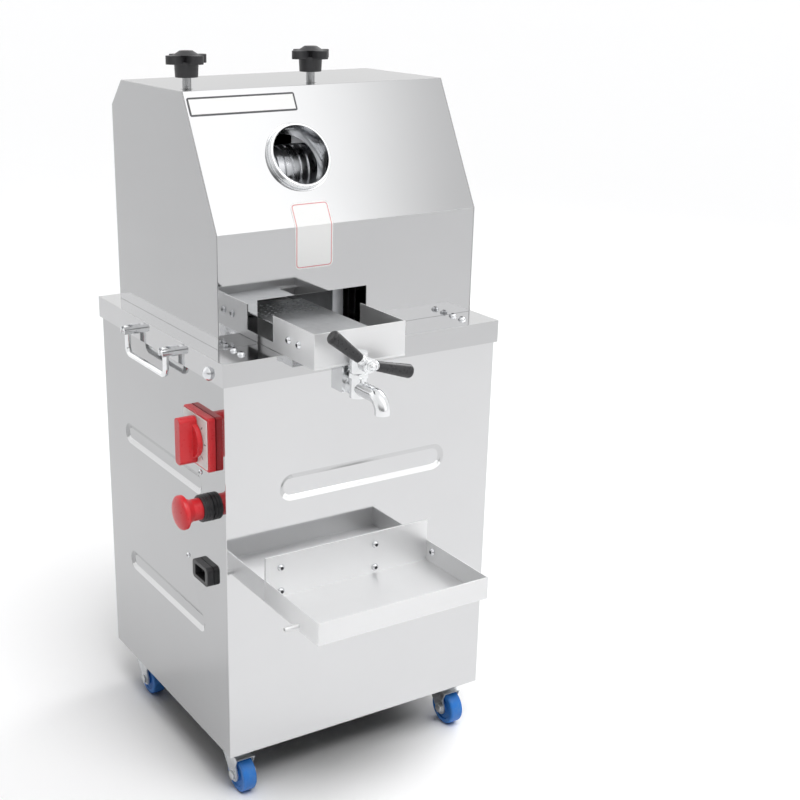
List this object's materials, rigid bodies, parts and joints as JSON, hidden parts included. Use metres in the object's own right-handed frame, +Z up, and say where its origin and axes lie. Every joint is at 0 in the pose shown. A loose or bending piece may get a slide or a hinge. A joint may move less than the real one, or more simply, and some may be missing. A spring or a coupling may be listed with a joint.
{
  "type": "electric sugarcane juicer",
  "caption": "Polished steel sugarcane juicer on casters: sloped hood with a round feed tube over a roller mill, sliding juice drawer with a tap, drip tray, rotary switch and stop button.",
  "frame": {"origin": "on the floor under the middle of the cabinet", "axes": "+Z up, -Y out of the front where the drawer and the drip tray are, +X to the right as seen from the front"},
  "size_m": [0.4665, 0.5305, 0.954],
  "materials": {
    "polished_steel": "mirror polished sheet",
    "zinc_steel": "zinc plated",
    "mill_steel": "machined",
    "bright_steel": "bright",
    "cast_iron": "painted casting",
    "motor_paint": "painted",
    "dark_steel": "oiled",
    "bronze": "turned",
    "black_plastic": "moulded",
    "red_plastic": "moulded",
    "white_plastic": "satin",
    "strainer_steel": "satin",
    "blue_tread": "moulded"
  },
  "bodies": {
    "cabinet": {"bottom_plate": "zinc_steel", "corner_posts": "zinc_steel", "front_panel": "polished_steel", "left_panel": "polished_steel", "right_panel": "polished_steel", "rear_panel": "polished_steel", "top_cover": "polished_steel", "gearbox": "cast_iron", "drive_motor": "motor_paint", "power_inlet": "black_plastic", "switch_base": "red_plastic", "switch_faceplate": "white_plastic", "estop_base": "black_plastic", "drip_tray": "polished_steel", "cabinet_bolts": "bright_steel", "handle_lugs": "bright_steel", "hood_wrap": "polished_steel", "hood_left_side": "polished_steel", "hood_right_side": "polished_steel", "feed_tube": "polished_steel", "mill_plate_left": "mill_steel", "mill_plate_right": "mill_steel", "mill_tie_bars": "mill_steel", "roller_bearings": "bronze", "drive_chain": "dark_steel", "trash_plate": "polished_steel", "juice_chute": "polished_steel", "drawer_guide": "polished_steel", "caster_plates": "zinc_steel"},
    "left_handle": {"left_handle": "bright_steel"},
    "right_handle": {"right_handle": "bright_steel"},
    "press_screw_left": {"press_screw_left": "bright_steel", "knob_left": "black_plastic"},
    "press_screw_right": {"press_screw_right": "bright_steel", "knob_right": "black_plastic"},
    "top_roller": {"top_roller": "mill_steel", "top_gear": "dark_steel", "driven_sprocket": "dark_steel"},
    "front_roller": {"front_roller": "mill_steel", "front_gear": "dark_steel"},
    "rear_roller": {"rear_roller": "mill_steel", "rear_gear": "dark_steel"},
    "drive_sprocket": {"drive_sprocket": "dark_steel"},
    "juice_drawer": {"juice_drawer": "polished_steel", "strainer": "strainer_steel", "drawer_bolts": "bright_steel", "tap_body": "bright_steel"},
    "tap_lever": {"tap_handle": "bright_steel", "tap_grips": "black_plastic"},
    "switch_knob": {"switch_knob": "red_plastic"},
    "estop_button": {"estop_button": "red_plastic"},
    "caster_fork_front_left": {"caster_fork_front_left": "zinc_steel"},
    "caster_wheel_front_left": {"caster_wheel_front_left": "blue_tread"},
    "caster_fork_front_right": {"caster_fork_front_right": "zinc_steel"},
    "caster_wheel_front_right": {"caster_wheel_front_right": "blue_tread"},
    "caster_fork_rear_left": {"caster_fork_rear_left": "zinc_steel"},
    "caster_wheel_rear_left": {"caster_wheel_rear_left": "blue_tread"},
    "caster_fork_rear_right": {"caster_fork_rear_right": "zinc_steel"},
    "caster_wheel_rear_right": {"caster_wheel_rear_right": "blue_tread"}
  },
  "joints": [
    {"name": "left_handle_swing", "type": "hinge", "parent": "cabinet", "child": "left_handle", "pos_m": [-0.2145, 0.005, 0.593], "axis": [0, 1, 0], "range_deg": [0, 90]},
    {"name": "right_handle_swing", "type": "hinge", "parent": "cabinet", "child": "right_handle", "pos_m": [0.2145, 0.005, 0.593], "axis": [0, -1, 0], "range_deg": [0, 90]},
    {"name": "press_screw_left_turn", "type": "hinge", "parent": "cabinet", "child": "press_screw_left", "pos_m": [-0.16, -0.023, 0.909], "axis": [0, 0, 1], "range_deg": [-360, 360]},
    {"name": "press_screw_right_turn", "type": "hinge", "parent": "cabinet", "child": "press_screw_right", "pos_m": [0.014, -0.023, 0.909], "axis": [0, 0, 1], "range_deg": [-360, 360]},
    {"name": "top_roller_spin", "type": "hinge", "parent": "cabinet", "child": "top_roller", "pos_m": [0, -0.023, 0.801], "axis": [1, 0, 0], "continuous": true},
    {"name": "front_roller_spin", "type": "hinge", "parent": "cabinet", "child": "front_roller", "pos_m": [0, -0.065, 0.745], "axis": [1, 0, 0], "continuous": true},
    {"name": "rear_roller_spin", "type": "hinge", "parent": "cabinet", "child": "rear_roller", "pos_m": [0, 0.019, 0.745], "axis": [1, 0, 0], "continuous": true},
    {"name": "drive_sprocket_spin", "type": "hinge", "parent": "cabinet", "child": "drive_sprocket", "pos_m": [0, -0.023, 0.138], "axis": [1, 0, 0], "continuous": true},
    {"name": "drawer_slide", "type": "slide", "parent": "cabinet", "child": "juice_drawer", "axis": [0, -1, 0], "range_m": [-0.036, 0.16]},
    {"name": "tap_turn", "type": "hinge", "parent": "juice_drawer", "child": "tap_lever", "pos_m": [-0.07, -0.2968, 0.6183], "axis": [0, -1, 0], "range_deg": [0, 58]},
    {"name": "switch_turn", "type": "hinge", "parent": "cabinet", "child": "switch_knob", "pos_m": [-0.21, -0.129, 0.5], "axis": [-1, 0, 0], "range_deg": [0, 90]},
    {"name": "estop_push", "type": "slide", "parent": "cabinet", "child": "estop_button", "axis": [1, 0, 0], "range_m": [0, 0.004], "stiffness_N_per_m": 800},
    {"name": "swivel_front_left", "type": "hinge", "parent": "cabinet", "child": "caster_fork_front_left", "pos_m": [-0.17, -0.145, 0.06], "axis": [0, 0, 1], "continuous": true},
    {"name": "wheel_front_left", "type": "hinge", "parent": "caster_fork_front_left", "child": "caster_wheel_front_left", "pos_m": [-0.17, -0.163, 0.025], "axis": [1, 0, 0], "continuous": true},
    {"name": "swivel_front_right", "type": "hinge", "parent": "cabinet", "child": "caster_fork_front_right", "pos_m": [0.17, -0.145, 0.06], "axis": [0, 0, 1], "continuous": true},
    {"name": "wheel_front_right", "type": "hinge", "parent": "caster_fork_front_right", "child": "caster_wheel_front_right", "pos_m": [0.17, -0.163, 0.025], "axis": [1, 0, 0], "continuous": true},
    {"name": "swivel_rear_left", "type": "hinge", "parent": "cabinet", "child": "caster_fork_rear_left", "pos_m": [-0.17, 0.145, 0.06], "axis": [0, 0, 1], "continuous": true},
    {"name": "wheel_rear_left", "type": "hinge", "parent": "caster_fork_rear_left", "child": "caster_wheel_rear_left", "pos_m": [-0.17, 0.127, 0.025], "axis": [1, 0, 0], "continuous": true},
    {"name": "swivel_rear_right", "type": "hinge", "parent": "cabinet", "child": "caster_fork_rear_right", "pos_m": [0.17, 0.145, 0.06], "axis": [0, 0, 1], "continuous": true},
    {"name": "wheel_rear_right", "type": "hinge", "parent": "caster_fork_rear_right", "child": "caster_wheel_rear_right", "pos_m": [0.17, 0.127, 0.025], "axis": [1, 0, 0], "continuous": true}
  ],
  "couplings": [
    {"joint": "front_roller_spin", "follows": "top_roller_spin", "ratio": -1},
    {"joint": "rear_roller_spin", "follows": "top_roller_spin", "ratio": -1},
    {"joint": "drive_sprocket_spin", "follows": "top_roller_spin", "ratio": 2}
  ]
}
